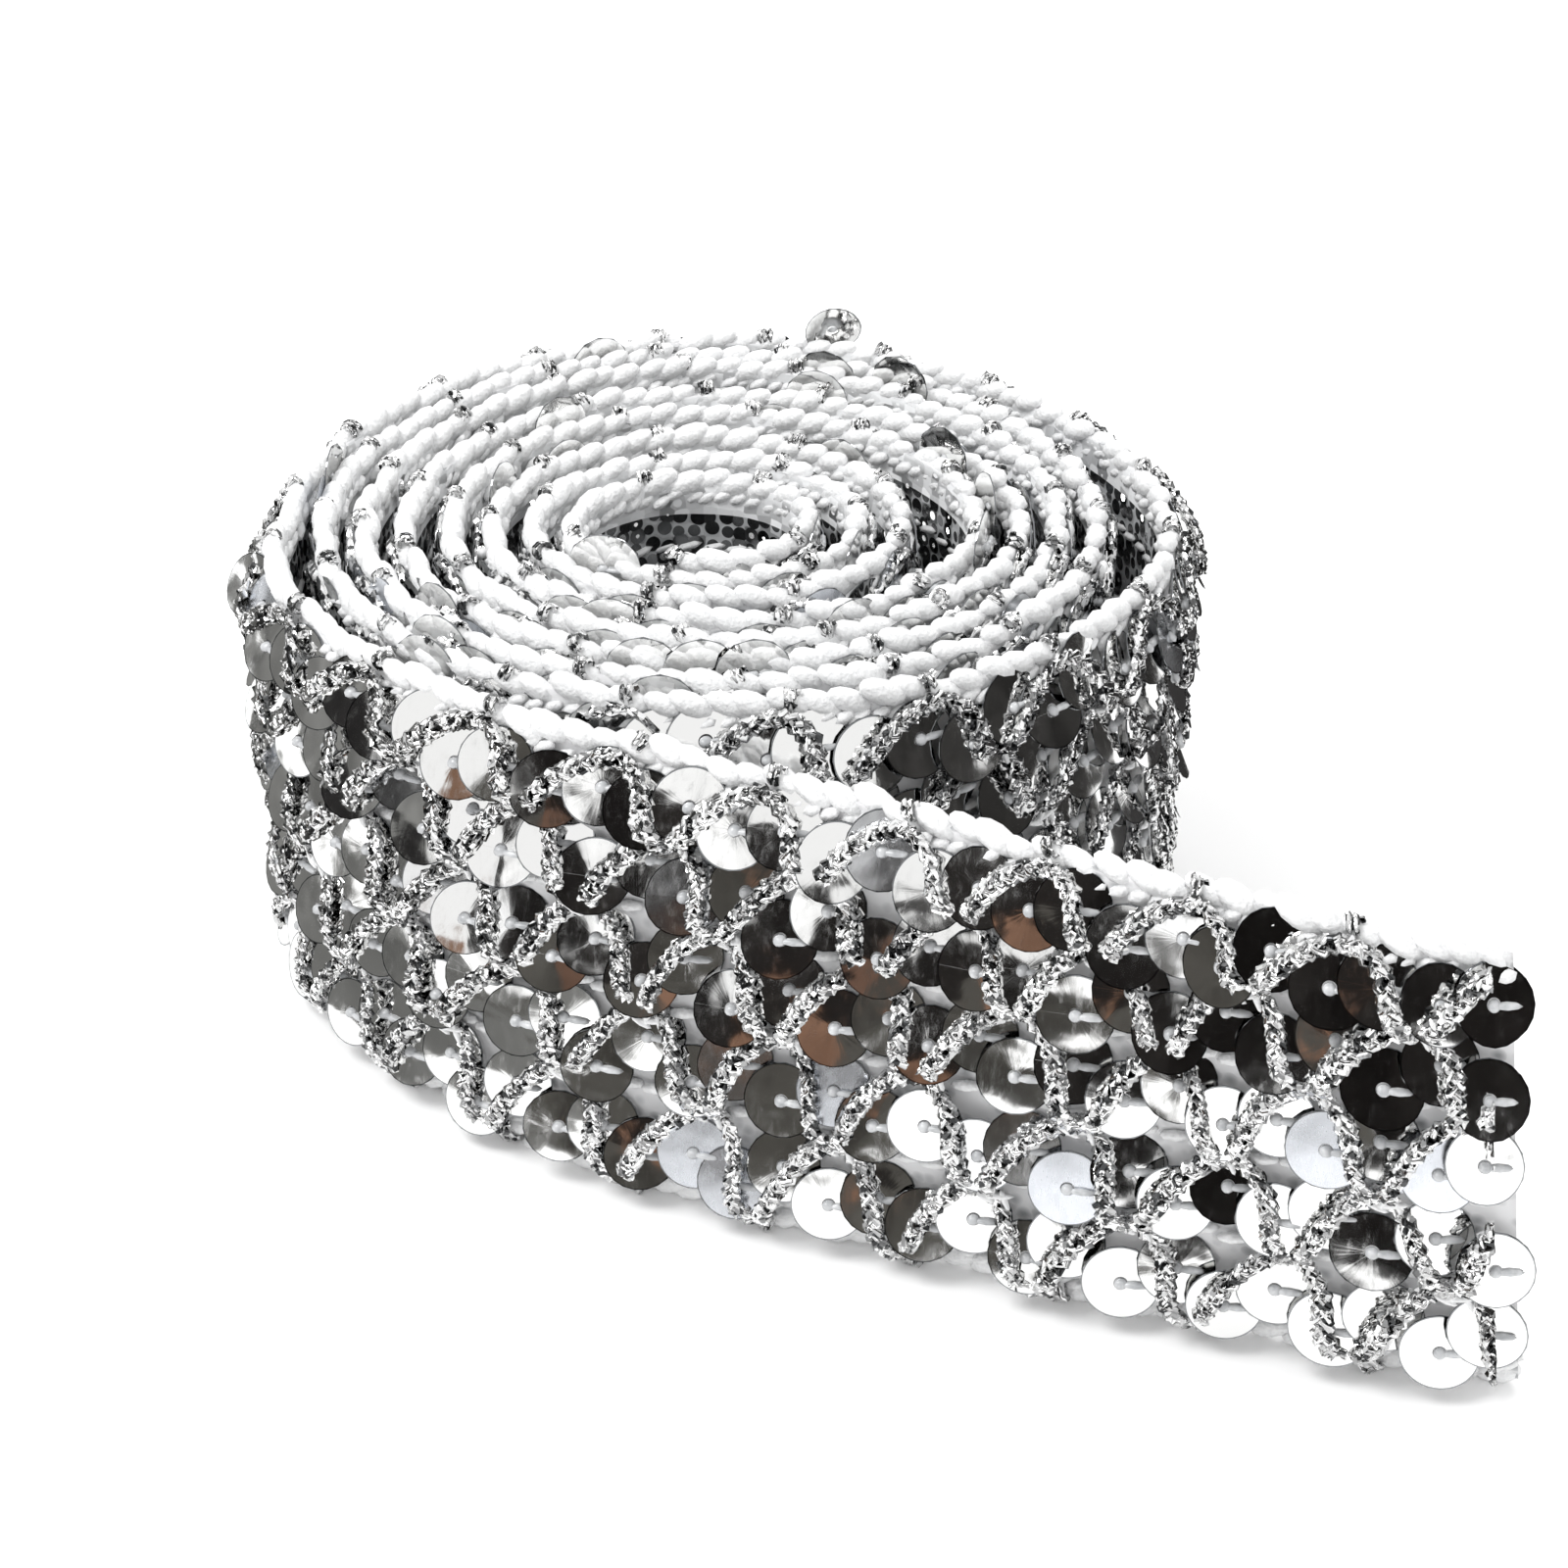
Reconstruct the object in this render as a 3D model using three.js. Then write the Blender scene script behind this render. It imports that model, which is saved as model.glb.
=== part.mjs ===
// A silver sequin trim, 36 mm wide, standing on its edge and wound into a loose roll with a free end.
import * as THREE from 'three';

// The trim: sizes in millimetres, the strip's height being its width because it stands on its edge
const TRIM_WIDTH = 36;
const GROUND_THICKNESS = 1;
const EDGE_CORD_BULGE = 0.3;
const EDGE_CORD_HEIGHT = 1.4;
const EDGE_CORD_SLOPE = 0.5;

// The sequins: flat 5 mm discs strung in five rows, each disc lying over the one wound before it.
// Its leading edge stands proud, and the trailing place is the part of the pitch where it is tallest.
const SEQUIN_ROWS = 5;
const SEQUIN_RADIUS = 2.5;
const SEQUIN_PITCH = 3.35;
const TRAILING_PLACE = 0.75;
const SEQUIN_OVERLAP_HALF_HEIGHT = 1.85;
const ROW_SPACING = 7;
const ROW_CLEARANCE = 0.3;
const ROW_THICKNESS = { packed: 0.55, trailing: 0.5, leading: 0.95 };

// The winding, seen from above: it runs counter-clockwise and outward from the inner end.
// Each row is one turn, with its distance from the winding's centre every 45 degrees, named by the
// letters of a compass whose south is the front.
const WINDING_CENTRE = { x: -1.6, y: -1.6 };
const WINDING_START = -105;
const WINDING_FRONT = -90;
const RADII_PER_TURN = 8;
const TURNS = [
  { s: 6.5, se: 7.3, e: 8.0, ne: 7.4, n: 6.8, nw: 7.6, w: 9.3, sw: 9.5 },
  { s: 9.4, se: 10.5, e: 11.6, ne: 10.9, n: 10.3, nw: 11.1, w: 12.3, sw: 12.4 },
  { s: 12.2, se: 13.5, e: 14.8, ne: 14.6, n: 14.5, nw: 14.8, w: 15.4, sw: 15.2 },
  { s: 15.1, se: 17.7, e: 20.5, ne: 19.9, n: 19.2, nw: 18.8, w: 18.4, sw: 18.1 },
  { s: 17.9, se: 20.6, e: 23.5, ne: 23.2, n: 22.9, nw: 22.3, w: 21.8, sw: 20.9 },
  { s: 20.7, se: 23.5, e: 26.4, ne: 27.2, n: 28.5, nw: 26.2, w: 24.8, sw: 23.8 },
  { s: 23.6, se: 26.4, e: 29.3, ne: 30.0, n: 31.3, nw: 29.1, w: 27.7, sw: 26.6 },
  { s: 26.4, se: 29.9, e: 34.5, ne: 33.7, n: 34.1, nw: 32.1, w: 30.5 },
];

// The free end, from the left of the roll round its front: lean is how far the top edge stands
// outside the bottom edge there, and the far end is cut a little slanted, longer at the bottom.
const FREE_END = [
  { x: -32.1, y: -6.0, lean: 0.2 },
  { x: -30.7, y: -11.5, lean: 0.2 },
  { x: -27.9, y: -16.4, lean: 0.3 },
  { x: -23.8, y: -21.2, lean: 0.4 },
  { x: -18.2, y: -26.5, lean: -0.2 },
  { x: -11.9, y: -31.1, lean: -0.7 },
  { x: -5.1, y: -34.6, lean: -1.1 },
  { x: 3.9, y: -38.4, lean: -0.9 },
  { x: 13.9, y: -42.1, lean: 0.2 },
  { x: 23.1, y: -45.5, lean: 1.2 },
  { x: 32.7, y: -48.5, lean: 2.5 },
  { x: 41.6, y: -51.5, lean: 3.2 },
  { x: 51.1, y: -53.6, lean: 3.6 },
];
const CUT_SLANT = 6;
const CUT_SLANT_REACH = 65;

// How finely the strip is divided: by angle where turns hide each other, by sequin where they show
const DEGREES_PER_STEP = 20;
const PATH_STEP_DEGREES = 2.5;
const FREE_STEPS_PER_POINT = 12;

const WHITE_YARN = { color: 0xeeeeee, roughness: 0.85, metalness: 0 };
const SILVER_FILM = { color: 0xc9cacc, roughness: 0.12, metalness: 1 };

// Catmull-Rom interpolation of a list of values at a fractional place in it
function smoothed(values, place) {
  const last = values.length - 1;
  const index = Math.min(Math.max(Math.floor(place), 0), last - 1);
  const part = place - index;
  const before = values[Math.max(index - 1, 0)];
  const from = values[index];
  const to = values[index + 1];
  const after = values[Math.min(index + 2, last)];
  const slopeFrom = (to - before) / 2;
  const slopeTo = (after - from) / 2;
  const square = part * part;
  const cube = square * part;
  return from * (2 * cube - 3 * square + 1) + slopeFrom * (cube - 2 * square + part)
    + to * (3 * square - 2 * cube) + slopeTo * (cube - square);
}

// Dense points down the middle of the ground, from the inner end to the free end
function windingPath() {
  const radii = TURNS.flatMap((turn) => Object.values(turn));
  const degreesPerRadius = 360 / RADII_PER_TURN;
  const windingEnd = WINDING_FRONT + (radii.length - 1) * degreesPerRadius;
  const points = [];
  for (let degrees = WINDING_START; degrees <= windingEnd; degrees += PATH_STEP_DEGREES) {
    const radius = smoothed(radii, Math.max((degrees - WINDING_FRONT) / degreesPerRadius, 0));
    const angle = THREE.MathUtils.degToRad(degrees);
    const x = WINDING_CENTRE.x + radius * Math.cos(angle);
    const y = WINDING_CENTRE.y + radius * Math.sin(angle);
    points.push({ x, y, lean: 0, degrees });
  }
  const joined = [points[points.length - 8], points[points.length - 1], ...FREE_END];
  for (let step = 1; step <= FREE_END.length * FREE_STEPS_PER_POINT; step += 1) {
    const place = 1 + step / FREE_STEPS_PER_POINT;
    const at = (name) => smoothed(joined.map((point) => point[name]), place);
    points.push({ x: at('x'), y: at('y'), lean: at('lean'), degrees: windingEnd });
  }
  return points;
}

// Adds each point's distance along the path and its outward direction
function measured(points) {
  let along = 0;
  return points.map((point, index) => {
    const before = points[Math.max(index - 1, 0)];
    const after = points[Math.min(index + 1, points.length - 1)];
    const length = Math.hypot(after.x - before.x, after.y - before.y);
    along += index > 0 ? Math.hypot(point.x - before.x, point.y - before.y) : 0;
    const outward = { x: (after.y - before.y) / length, y: (before.x - after.x) / length };
    return { ...point, along, outward };
  });
}

// The path's point at a distance along it, between two of its dense points
function stationAt(path, along, tooth) {
  const index = Math.max(path.findIndex((point) => point.along >= along), 1);
  const from = path[index - 1];
  const to = path[index];
  const part = THREE.MathUtils.clamp((along - from.along) / (to.along - from.along), 0, 1);
  const mix = (pick) => THREE.MathUtils.lerp(pick(from), pick(to), part);
  const outward = new THREE.Vector2(mix((p) => p.outward.x), mix((p) => p.outward.y)).normalize();
  const pathLength = path[path.length - 1].along;
  const nearEnd = Math.max(1 - (pathLength - along) / CUT_SLANT_REACH, 0);
  return {
    tooth,
    outward,
    middle: new THREE.Vector2(mix((p) => p.x), mix((p) => p.y)),
    lean: mix((p) => p.lean),
    slant: -CUT_SLANT * nearEnd * nearEnd,
  };
}

// The cross-sections' places: even angles in the inner turns, then two for each sequin of the last turn
function stripStations(path) {
  const lastTurnFront = WINDING_FRONT + 360 * (TURNS.length - 1);
  const fineStart = path.find((point) => point.degrees >= lastTurnFront).along;
  const pathLength = path[path.length - 1].along;
  const stations = [];
  const packedEnd = lastTurnFront - DEGREES_PER_STEP / 2;
  for (let degrees = WINDING_START; degrees < packedEnd; degrees += DEGREES_PER_STEP) {
    const point = path.find((candidate) => candidate.degrees >= degrees);
    stations.push(stationAt(path, point.along, 'packed'));
  }
  const sequins = Math.floor((pathLength - fineStart) / SEQUIN_PITCH);
  const pitch = (pathLength - fineStart) / sequins;
  for (let sequin = 0; sequin < sequins; sequin += 1) {
    const leading = fineStart + sequin * pitch;
    stations.push(stationAt(path, leading, 'leading'));
    stations.push(stationAt(path, leading + TRAILING_PLACE * pitch, 'trailing'));
  }
  stations.push(stationAt(path, pathLength, 'trailing'));
  return stations;
}

// One closed solid from a section given at every station, as [outward distance, height] pairs
function sweptSolid(stations, sectionAt) {
  const positions = [];
  const sections = stations.map(sectionAt);
  stations.forEach((station, index) => {
    const forward = new THREE.Vector2(-station.outward.y, station.outward.x);
    for (const [outward, height] of sections[index]) {
      const rise = height / TRIM_WIDTH;
      const offset = outward + station.lean * rise;
      const shift = station.slant * rise;
      const x = station.middle.x + station.outward.x * offset + forward.x * shift;
      const y = station.middle.y + station.outward.y * offset + forward.y * shift;
      positions.push(x, y, height);
    }
  });
  const corners = sections[0].length;
  const faces = [];
  for (let index = 0; index < stations.length - 1; index += 1) {
    for (let corner = 0; corner < corners; corner += 1) {
      const next = (corner + 1) % corners;
      const here = index * corners;
      const ahead = here + corners;
      faces.push(here + corner, ahead + corner, ahead + next);
      faces.push(here + corner, ahead + next, here + next);
    }
  }
  const outline = sections[0].map(([outward, height]) => new THREE.Vector2(outward, height));
  const farEnd = (stations.length - 1) * corners;
  for (const [a, b, c] of THREE.ShapeUtils.triangulateShape(outline, [])) {
    faces.push(a, b, c);
    faces.push(farEnd + c, farEnd + b, farEnd + a);
  }
  const geometry = new THREE.BufferGeometry();
  geometry.setAttribute('position', new THREE.Float32BufferAttribute(positions, 3));
  geometry.setIndex(faces);
  geometry.computeVertexNormals();
  return geometry;
}

// The white knitted ground, flat outside and thickened inside by a cord along both edges
function groundSection() {
  const outer = GROUND_THICKNESS / 2;
  const inner = -outer;
  const cord = inner - EDGE_CORD_BULGE;
  const cordEnd = EDGE_CORD_HEIGHT + EDGE_CORD_SLOPE;
  return [
    [cord, 0],
    [outer, 0],
    [outer, TRIM_WIDTH],
    [cord, TRIM_WIDTH],
    [cord, TRIM_WIDTH - EDGE_CORD_HEIGHT],
    [inner, TRIM_WIDTH - cordEnd],
    [inner, cordEnd],
    [cord, EDGE_CORD_HEIGHT],
  ];
}

// A row of overlapping sequins: proud and low where a disc starts, thin and tall across its middle
function sequinSection(rowHeight, tooth) {
  const inner = GROUND_THICKNESS / 2 + ROW_CLEARANCE;
  const outer = inner + ROW_THICKNESS[tooth];
  const half = tooth === 'leading' ? SEQUIN_OVERLAP_HALF_HEIGHT : SEQUIN_RADIUS;
  return [
    [inner, rowHeight - half],
    [outer, rowHeight - half],
    [outer, rowHeight + half],
    [inner, rowHeight + half],
  ];
}

function addPiece(trim, name, geometry, finish) {
  const piece = new THREE.Mesh(geometry, new THREE.MeshStandardMaterial(finish));
  piece.name = name;
  trim.add(piece);
}

// Moves the trim so that the middle of its outline, on the surface it stands on, is the origin
function centreOnSurface(trim) {
  const box = new THREE.Box3().setFromObject(trim);
  const middle = box.getCenter(new THREE.Vector3());
  trim.children.forEach((piece) => piece.geometry.translate(-middle.x, -middle.y, -box.min.z));
}

const trim = new THREE.Group();
trim.name = 'sequin_trim';
const stations = stripStations(measured(windingPath()));
addPiece(trim, 'ground_band', sweptSolid(stations, groundSection), WHITE_YARN);
for (let row = 1; row <= SEQUIN_ROWS; row += 1) {
  const rowHeight = TRIM_WIDTH / 2 + (row - (SEQUIN_ROWS + 1) / 2) * ROW_SPACING;
  const sectionAt = (station) => sequinSection(rowHeight, station.tooth);
  addPiece(trim, `sequin_row_${row}`, sweptSolid(stations, sectionAt), SILVER_FILM);
}
centreOnSurface(trim);

export default trim;
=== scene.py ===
import math

import bpy
import numpy as np
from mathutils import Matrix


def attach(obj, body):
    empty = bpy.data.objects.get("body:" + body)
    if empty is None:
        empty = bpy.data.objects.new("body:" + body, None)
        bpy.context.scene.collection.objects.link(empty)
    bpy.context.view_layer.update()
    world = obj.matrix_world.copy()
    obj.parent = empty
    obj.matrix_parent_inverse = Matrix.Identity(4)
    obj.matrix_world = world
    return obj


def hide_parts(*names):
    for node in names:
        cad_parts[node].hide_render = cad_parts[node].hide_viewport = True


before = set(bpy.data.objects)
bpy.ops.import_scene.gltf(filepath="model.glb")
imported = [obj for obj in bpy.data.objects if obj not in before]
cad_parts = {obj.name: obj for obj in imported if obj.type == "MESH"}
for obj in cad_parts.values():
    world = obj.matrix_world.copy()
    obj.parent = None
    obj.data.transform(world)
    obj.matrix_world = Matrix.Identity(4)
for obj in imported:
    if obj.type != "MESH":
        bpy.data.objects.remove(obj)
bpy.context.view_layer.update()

# Knitted ground
# One strip of white polyester yarn, warp-knitted 36 mm wide and cut from the reel. Every piece of
# the trim is made lying flat, face up, as it leaves the machine, and is then wound with the strip.
MM = 0.001
TRIM_WIDTH = 36 * MM
GROUND_THICKNESS = 0.8 * MM
GROUND_FACE = 0.3 * MM
GROUND_CELL = 1.5 * MM
EDGE_TUCK = 0.7 * MM
KNIT_WAVE = 0.15 * MM
KNIT_WAVE_ALONG = 4.1 * MM
KNIT_WAVE_ACROSS = 2.3 * MM

# The winding: where its axis stands, where its centre is from there in millimetres, and the
# directions in degrees of the inner end and of each turn's first radius
ROLL_AXIS = np.array([-8.59, 11.41]) * MM
WINDING_CENTRE = (-1.6, -1.6)
WINDING_START = -105
WINDING_FRONT = -90
PATH_STEP_DEGREES = 2.5

# Each row is a turn of the winding, counter-clockwise and outward from above: the distance from
# its centre in millimetres every 45 degrees, starting at the front.
TURNS = [
    (6.5, 7.3, 8.0, 7.4, 6.8, 7.6, 9.3, 9.5),
    (9.4, 10.5, 11.6, 10.9, 10.3, 11.1, 12.3, 12.4),
    (12.2, 13.5, 14.8, 14.6, 14.5, 14.8, 15.4, 15.2),
    (15.1, 17.7, 20.5, 19.9, 19.2, 18.8, 18.4, 18.1),
    (17.9, 20.6, 23.5, 23.2, 22.9, 22.3, 21.8, 20.9),
    (20.7, 23.5, 26.4, 27.2, 28.5, 26.2, 24.8, 23.8),
    (23.6, 26.4, 29.3, 30.0, 31.3, 29.1, 27.7, 26.6),
    (26.4, 29.9, 34.5, 33.7, 34.1, 32.1, 30.5),
]

# The free end in front, in millimetres: x, y and how far the top edge stands outside the bottom
# one. Its cut leans, and so does the strip a little way before it.
FREE_END = [
    (-32.1, -6.0, 0.2),
    (-30.7, -11.5, 0.2),
    (-27.9, -16.4, 0.3),
    (-23.8, -21.2, 0.4),
    (-18.2, -26.5, -0.2),
    (-11.9, -31.1, -0.7),
    (-5.1, -34.6, -1.1),
    (3.9, -38.4, -0.9),
    (13.9, -42.1, 0.2),
    (23.1, -45.5, 1.2),
    (32.7, -48.5, 2.5),
    (41.6, -51.5, 3.2),
    (51.1, -53.6, 3.6),
]
FREE_STEPS_PER_POINT = 12
CUT_SLANT = 6 * MM
CUT_SLANT_REACH = 65 * MM


def smoothed(values, places):
    """Catmull-Rom interpolation of a list of values at fractional places in it."""
    values = np.asarray(values, dtype=float)
    last = len(values) - 1
    index = np.clip(np.floor(places).astype(int), 0, last - 1)
    part = places - index
    before = values[np.maximum(index - 1, 0)]
    start = values[index]
    end = values[index + 1]
    after = values[np.minimum(index + 2, last)]
    slope_start = (end - before) / 2
    slope_end = (after - start) / 2
    square = part**2
    cube = part**3
    return (
        start * (2 * cube - 3 * square + 1)
        + slope_start * (cube - 2 * square + part)
        + end * (3 * square - 2 * cube)
        + slope_end * (cube - square)
    )


def winding_path():
    """The middle of the ground from the inner end to the free end: x, y and lean in metres."""
    radii = [radius for turn in TURNS for radius in turn]
    degrees_per_radius = 360 / len(TURNS[0])
    winding_end = WINDING_FRONT + (len(radii) - 1) * degrees_per_radius
    degrees = np.arange(WINDING_START, winding_end + 0.01, PATH_STEP_DEGREES)
    radius = smoothed(radii, np.maximum((degrees - WINDING_FRONT) / degrees_per_radius, 0))
    angle = np.radians(degrees)
    wound_x = WINDING_CENTRE[0] + radius * np.cos(angle)
    wound_y = WINDING_CENTRE[1] + radius * np.sin(angle)
    wound = np.stack([wound_x, wound_y, np.zeros_like(wound_x)], axis=1)
    joined = np.vstack([wound[-8], wound[-1], FREE_END])
    places = 1 + np.arange(1, len(FREE_END) * FREE_STEPS_PER_POINT + 1) / FREE_STEPS_PER_POINT
    free = np.stack([smoothed(joined[:, column], places) for column in range(3)], axis=1)
    return np.vstack([wound, free]) * MM


path = winding_path()
path_steps = np.diff(path[:, :2], axis=0)
path_along = np.concatenate([[0], np.cumsum(np.hypot(path_steps[:, 0], path_steps[:, 1]))])
path_forward = np.gradient(path[:, :2], axis=0)
path_forward /= np.linalg.norm(path_forward, axis=1)[:, None]
STRIP_LENGTH = float(path_along[-1])
LAST_TURN_START = 360 * (len(TURNS) - 1) + WINDING_FRONT - WINDING_START
LAST_TURN_ALONG = float(path_along[round(LAST_TURN_START / PATH_STEP_DEGREES)])


def coordinates(piece):
    places = np.empty(len(piece.data.vertices) * 3)
    piece.data.vertices.foreach_get("co", places)
    return places.reshape(-1, 3)


def set_coordinates(piece, places):
    piece.data.vertices.foreach_set("co", np.ascontiguousarray(places).ravel())
    piece.data.update()


def wind(piece):
    """Takes a flat piece onto the roll: x runs along the strip, y across it, z off its face.

    What hangs past the lower edge is pressed flat by the surface that the roll stands on.
    """
    along, across, off = coordinates(piece).T
    across = np.maximum(across, 0)
    held = np.clip(along, 0, STRIP_LENGTH)
    middle = [np.interp(held, path_along, path[:, axis]) for axis in range(2)]
    lean = np.interp(held, path_along, path[:, 2])
    forward = np.stack([np.interp(held, path_along, path_forward[:, axis]) for axis in range(2)])
    forward /= np.linalg.norm(forward, axis=0)
    rise = across / TRIM_WIDTH
    near_end = np.maximum(1 - (STRIP_LENGTH - held) / CUT_SLANT_REACH, 0)
    shift = (along - held) - CUT_SLANT * near_end**2 * rise
    out = off + lean * rise
    x = middle[0] + forward[1] * out + forward[0] * shift + ROLL_AXIS[0]
    y = middle[1] - forward[0] * out + forward[1] * shift + ROLL_AXIS[1]
    set_coordinates(piece, np.stack([x, y, across], axis=1))


def deselect_all():
    for other in bpy.context.selected_objects:
        other.select_set(False)


def only(piece):
    """Makes a piece the one selected and active object."""
    deselect_all()
    piece.select_set(True)
    bpy.context.view_layer.objects.active = piece
    return piece


def new_piece(name, scale=None):
    """Names the primitive that was just added, and settles its size and place into its mesh."""
    piece = only(bpy.context.object)
    piece.name = piece.data.name = name
    if scale:
        piece.scale = scale
    bpy.ops.object.transform_apply(location=True, rotation=True, scale=True)
    return piece


def modified(piece, kind, **settings):
    """Adds a modifier with its settings and applies it."""
    only(piece)
    modifier = piece.modifiers.new(kind.lower(), kind)
    for name, value in settings.items():
        setattr(modifier, name, value)
    bpy.ops.object.modifier_apply(modifier=modifier.name)


def linear(hex_colour):
    """An sRGB hex colour as linear RGBA."""
    parts = [int(hex_colour[place : place + 2], 16) / 255 for place in (1, 3, 5)]
    return [c / 12.92 if c <= 0.04045 else ((c + 0.055) / 1.055) ** 2.4 for c in parts] + [1]


def set_inputs(material, node, inputs):
    """Fills a node's inputs with values or with other nodes' outputs."""
    for name, value in inputs.items():
        if isinstance(value, bpy.types.NodeSocket):
            material.node_tree.links.new(value, node.inputs[name])
        else:
            node.inputs[name].default_value = value


def add_node(material, kind, inputs=None, **settings):
    """Adds a node with its settings and inputs."""
    node = material.node_tree.nodes.new(kind)
    for name, value in settings.items():
        setattr(node, name, value)
    set_inputs(material, node, inputs or {})
    return node


def new_material(name):
    """A node material and its empty surface shader."""
    material = bpy.data.materials.new(name)
    material.use_nodes = True
    return material, material.node_tree.nodes["Principled BSDF"]


# The ground's edges are tucked into the cords. Its two faces differ, so the modifier that makes it
# thick gives the back a material slot of its own.
bpy.ops.mesh.primitive_grid_add(
    x_subdivisions=round(STRIP_LENGTH / GROUND_CELL), y_subdivisions=round(TRIM_WIDTH / GROUND_CELL),
    size=1, location=(STRIP_LENGTH / 2, TRIM_WIDTH / 2, GROUND_FACE),
)
ground = new_piece("knitted_ground", scale=(STRIP_LENGTH, TRIM_WIDTH, 1))
flat = coordinates(ground)
flat[:, 1] = np.clip(flat[:, 1], EDGE_TUCK, TRIM_WIDTH - EDGE_TUCK)
flat[:, 2] += KNIT_WAVE * np.sin(flat[:, 0] / KNIT_WAVE_ALONG) * np.sin(flat[:, 1] / KNIT_WAVE_ACROSS)
set_coordinates(ground, flat)
ground.data.materials.append(None)
ground.data.materials.append(None)
modified(ground, "SOLIDIFY", thickness=GROUND_THICKNESS, offset=-1, material_offset=1)
bpy.ops.object.shade_smooth()
wind(ground)

# Warp-knitted polyester: matt white stitches, close together on the face. On the back the knit is
# open between two close edges. The film shows through it, darker than the yarn and tipped this way
# and that, with small glints of lurex that are tipped upwards. Between the two edges the stitches
# are grey and the film dark grey: painted shade for the back, which lies deep between the turns.
KNIT_STITCH = 1.2 * MM
CLOSE_KNIT = 0.09
OPENING_REACH = 0.56
FILM_TIP = 1.3
knit, knit_surface = new_material("knitted polyester")
knit_uv = add_node(knit, "ShaderNodeTexCoord").outputs["UV"]
knit_scale = (STRIP_LENGTH / KNIT_STITCH, TRIM_WIDTH / KNIT_STITCH, 1)
knit_place = add_node(knit, "ShaderNodeMapping", {"Vector": knit_uv, "Scale": knit_scale}).outputs[0]
stitches = add_node(
    knit, "ShaderNodeTexVoronoi", {"Vector": knit_place, "Scale": 1, "Randomness": 0.7}, feature="F1",
)
stitch_height = add_node(
    knit, "ShaderNodeMapRange", {"Value": stitches.outputs["Distance"], 1: 0.1, 2: 0.5, 3: 0, 4: 1},
).outputs[0]
# Painted shade: each stitch is grey in its hollow and white where it stands up, with its bump.
painted_shade_knit_colour = add_node(
    knit, "ShaderNodeMix", {0: stitch_height, 6: linear("#a4a6a8"), 7: linear("#dededf")},
    data_type="RGBA",
).outputs[2]
knit_bump = add_node(
    knit, "ShaderNodeBump", {"Height": stitch_height, "Strength": 0.6, "Distance": 0.2 * MM},
).outputs[0]
set_inputs(knit, knit_surface, {"Base Color": painted_shade_knit_colour, "Roughness": 0.85, "Normal": knit_bump})

back_knit, back_surface = new_material("open knit over silver film")
back_uv = add_node(back_knit, "ShaderNodeTexCoord").outputs["UV"]
back_place = add_node(
    back_knit, "ShaderNodeMapping", {"Vector": back_uv, "Scale": knit_scale},
).outputs[0]
openings = add_node(
    back_knit, "ShaderNodeTexVoronoi", {"Vector": back_place, "Scale": 1, "Randomness": 0.45},
    feature="F1",
)
across_knit = add_node(back_knit, "ShaderNodeSeparateXYZ", {"Vector": back_uv}).outputs["Y"]
between_edges = add_node(
    back_knit, "ShaderNodeMath", {0: across_knit, 1: 0.5, 2: 0.5 - CLOSE_KNIT}, operation="COMPARE",
).outputs[0]
opening = add_node(
    back_knit, "ShaderNodeMath", {0: openings.outputs["Distance"], 1: OPENING_REACH},
    operation="LESS_THAN",
).outputs[0]
seen_through = add_node(
    back_knit, "ShaderNodeMath", {0: between_edges, 1: opening}, operation="MULTIPLY",
).outputs[0]
film_tip = add_node(
    back_knit, "ShaderNodeVectorMath", {0: openings.outputs["Color"], 1: (0.5, 0.5, 0.5)},
    operation="SUBTRACT",
).outputs[0]
face = add_node(back_knit, "ShaderNodeNewGeometry").outputs["Normal"]
film_normal = add_node(
    back_knit, "ShaderNodeVectorMath", {0: film_tip, 1: (FILM_TIP,) * 3, 2: face},
    operation="MULTIPLY_ADD",
).outputs[0]
speck_pick = add_node(
    back_knit, "ShaderNodeSeparateColor", {"Color": openings.outputs["Color"]},
).outputs["Red"]
speck_size = add_node(
    back_knit, "ShaderNodeMapRange", {"Value": speck_pick, 1: 0.4, 2: 1, 3: 0.08, 4: 0.34},
).outputs[0]
speck = add_node(
    back_knit, "ShaderNodeMath", {0: openings.outputs["Distance"], 1: speck_size},
    operation="LESS_THAN",
).outputs[0]
speck_tip = add_node(back_knit, "ShaderNodeCombineXYZ", {"Z": speck}).outputs[0]
speck_normal = add_node(
    back_knit, "ShaderNodeVectorMath", {0: film_normal, 1: speck_tip}, operation="ADD",
).outputs[0]
stitch_shade = add_node(
    back_knit, "ShaderNodeMapRange", {"Value": openings.outputs["Distance"], 1: 0.35, 2: 0.6, 3: 0, 4: 0.3},
).outputs[0]
at_edges = add_node(
    back_knit, "ShaderNodeMath", {0: 1, 1: between_edges}, operation="SUBTRACT",
).outputs[0]
stitch_light = add_node(
    back_knit, "ShaderNodeMath", {0: stitch_shade, 1: at_edges}, operation="MAXIMUM",
).outputs[0]
# Painted shade: stitches between the edges are grey, those at the edges white.
painted_shade_stitch_colour = add_node(
    back_knit, "ShaderNodeMix", {0: stitch_light, 6: linear("#7f8183"), 7: linear("#e2e3e4")},
    data_type="RGBA",
).outputs[2]
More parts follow.
